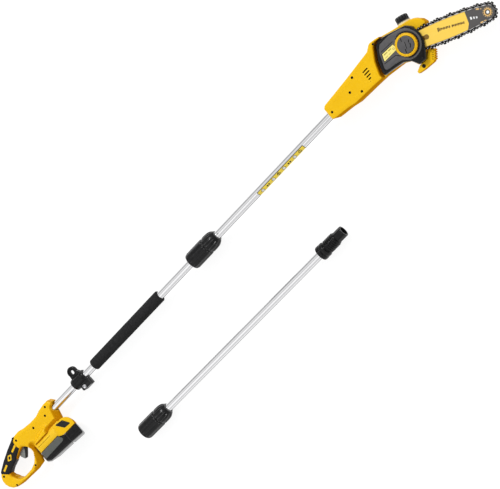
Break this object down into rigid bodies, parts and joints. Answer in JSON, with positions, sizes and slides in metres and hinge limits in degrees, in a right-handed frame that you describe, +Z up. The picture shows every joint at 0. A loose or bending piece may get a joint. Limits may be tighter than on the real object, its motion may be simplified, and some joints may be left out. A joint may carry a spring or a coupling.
{
  "type": "cordless pole saw",
  "caption": "Battery pole saw with a small chainsaw head, screwed pole sections, D handle, sliding strap ring, foam grip and a spare extension section.",
  "frame": {"origin": "bottom centre of the bounding box, on the surface that the saw and its spare section lie on", "axes": "+X along the pole towards the cutting head, +Y towards the saw's upper edge, +Z up, out of the side that carries the drive cover"},
  "size_m": [2.121, 0.328, 0.0803],
  "materials": {
    "yellow_plastic": "moulded, slight sheen",
    "black_plastic": "semi-gloss moulding",
    "grey_plastic": "fine grain",
    "black_rubber": "soft moulded",
    "black_foam": "closed-cell foam",
    "aluminium": "polished, anodised",
    "steel": "bright zinc or ground steel",
    "dark_steel": "blackened",
    "brass": "plain",
    "printed_bar": "printed steel"
  },
  "bodies": {
    "handle": {"handle_shell_left": "yellow_plastic", "handle_shell_right": "yellow_plastic", "grip_pad_left": "black_rubber", "grip_pad_right": "black_rubber", "trigger_pin": "steel", "trigger_spring": "steel", "switch_module": "grey_plastic", "lower_cable": "black_rubber", "terminal_block": "black_plastic", "battery_foot": "yellow_plastic", "handle_screw_1": "dark_steel", "handle_screw_2": "dark_steel", "lower_tube": "aluminium", "foam_grip": "black_foam", "lower_coupler": "black_plastic", "lower_contact": "brass"},
    "trigger": {"trigger": "grey_plastic"},
    "lock_off_button": {"lock_off_button": "black_plastic"},
    "strap_clamp": {"clamp_ring": "black_plastic", "clamp_screw": "steel"},
    "battery": {"battery_case": "black_plastic", "battery_cells": "steel", "battery_nose": "yellow_plastic", "battery_panel": "grey_plastic"},
    "battery_release": {"battery_release": "black_plastic"},
    "upper_section": {"upper_tube": "aluminium", "collar_socket": "black_plastic", "collar_cap": "black_plastic", "upper_contact": "brass", "upper_cable": "black_rubber", "head_shell_left": "yellow_plastic", "head_shell_right": "yellow_plastic", "motor_can": "steel", "shaft_bearing": "steel", "drive_plate": "yellow_plastic", "bar_stud": "steel", "side_cover": "black_plastic", "oil_tank": "grey_plastic", "oil_pump": "grey_plastic", "limb_hook": "yellow_plastic", "hook_screw": "dark_steel", "head_screw_1": "dark_steel", "head_screw_2": "dark_steel"},
    "collar_nut": {"collar_nut": "black_plastic"},
    "drive": {"drive_gear": "dark_steel", "output_shaft": "steel", "drive_sprocket": "dark_steel"},
    "motor_shaft": {"motor_shaft": "steel"},
    "bar": {"guide_bar": "printed_bar", "saw_chain": "dark_steel"},
    "nose_sprocket": {"nose_sprocket": "brass"},
    "tension_ring": {"tension_ring": "yellow_plastic"},
    "lock_knob": {"lock_knob": "grey_plastic"},
    "oil_cap": {"oil_cap": "black_plastic"},
    "extension": {"extension_tube": "aluminium", "extension_coupler": "black_plastic", "extension_socket": "black_plastic", "extension_cap": "black_plastic", "extension_cable": "black_rubber"},
    "extension_nut": {"extension_nut": "black_plastic"}
  },
  "joints": [
    {"name": "trigger_pull", "type": "hinge", "parent": "handle", "child": "trigger", "pos_m": [-0.922, 0.105, 0.038], "axis": [0, 0, 1], "range_deg": [-12, 0], "stiffness_Nm_per_rad": 0.6},
    {"name": "lock_off_press", "type": "slide", "parent": "handle", "child": "lock_off_button", "axis": [0, 0, 1], "range_m": [0, 0.003], "stiffness_N_per_m": 400},
    {"name": "strap_clamp_slide", "type": "slide", "parent": "handle", "child": "strap_clamp", "axis": [1, 0, 0], "range_m": [-0.08, 0.04]},
    {"name": "battery_slide", "type": "slide", "parent": "handle", "child": "battery", "axis": [1, 0, 0], "range_m": [0, 0.135]},
    {"name": "battery_release_press", "type": "slide", "parent": "battery", "child": "battery_release", "axis": [0, 0, -1], "range_m": [0, 0.0015], "stiffness_N_per_m": 600},
    {"name": "section_pull", "type": "slide", "parent": "handle", "child": "upper_section", "axis": [1, 0, 0], "range_m": [0, 0.12]},
    {"name": "collar_nut_turn", "type": "hinge", "parent": "upper_section", "child": "collar_nut", "pos_m": [-0.04, 0.11, 0.038], "axis": [1, 0, 0], "continuous": true},
    {"name": "drive_spin", "type": "hinge", "parent": "upper_section", "child": "drive", "pos_m": [0.78557, 0.10345, 0.051], "axis": [0, 0, 1], "continuous": true},
    {"name": "motor_spin", "type": "hinge", "parent": "upper_section", "child": "motor_shaft", "pos_m": [0.702, 0.10345, 0.032], "axis": [1, 0, 0], "continuous": true},
    {"name": "bar_tension", "type": "slide", "parent": "upper_section", "child": "bar", "axis": [0.915, -0.4035, 0], "range_m": [-0.006, 0]},
    {"name": "nose_spin", "type": "hinge", "parent": "bar", "child": "nose_sprocket", "pos_m": [1.03261, -0.00551, 0.051], "axis": [0, 0, 1], "continuous": true},
    {"name": "tension_ring_turn", "type": "hinge", "parent": "upper_section", "child": "tension_ring", "pos_m": [0.824, 0.0865, 0.07], "axis": [0, 0, 1], "range_deg": [0, 90]},
    {"name": "lock_knob_turn", "type": "hinge", "parent": "upper_section", "child": "lock_knob", "pos_m": [0.824, 0.0865, 0.07], "axis": [0, 0, 1], "continuous": true},
    {"name": "oil_cap_turn", "type": "hinge", "parent": "upper_section", "child": "oil_cap", "pos_m": [0.85, 0.1376, 0.023], "axis": [0.26, 0.9656, 0], "range_deg": [0, 120]},
    {"name": "extension_lift", "type": "slide", "parent": "handle", "child": "extension", "axis": [0, 0, 1], "range_m": [0, 0.25]},
    {"name": "extension_nut_turn", "type": "hinge", "parent": "extension", "child": "extension_nut", "pos_m": [-0.538, -0.137, 0.027], "axis": [1, 0, 0], "continuous": true}
  ],
  "couplings": [
    {"joint": "motor_spin", "follows": "drive_spin", "ratio": -3.6667},
    {"joint": "nose_spin", "follows": "drive_spin", "ratio": 0.85},
    {"joint": "tension_ring_turn", "follows": "bar_tension", "rad_per_m": -261.79}
  ]
}
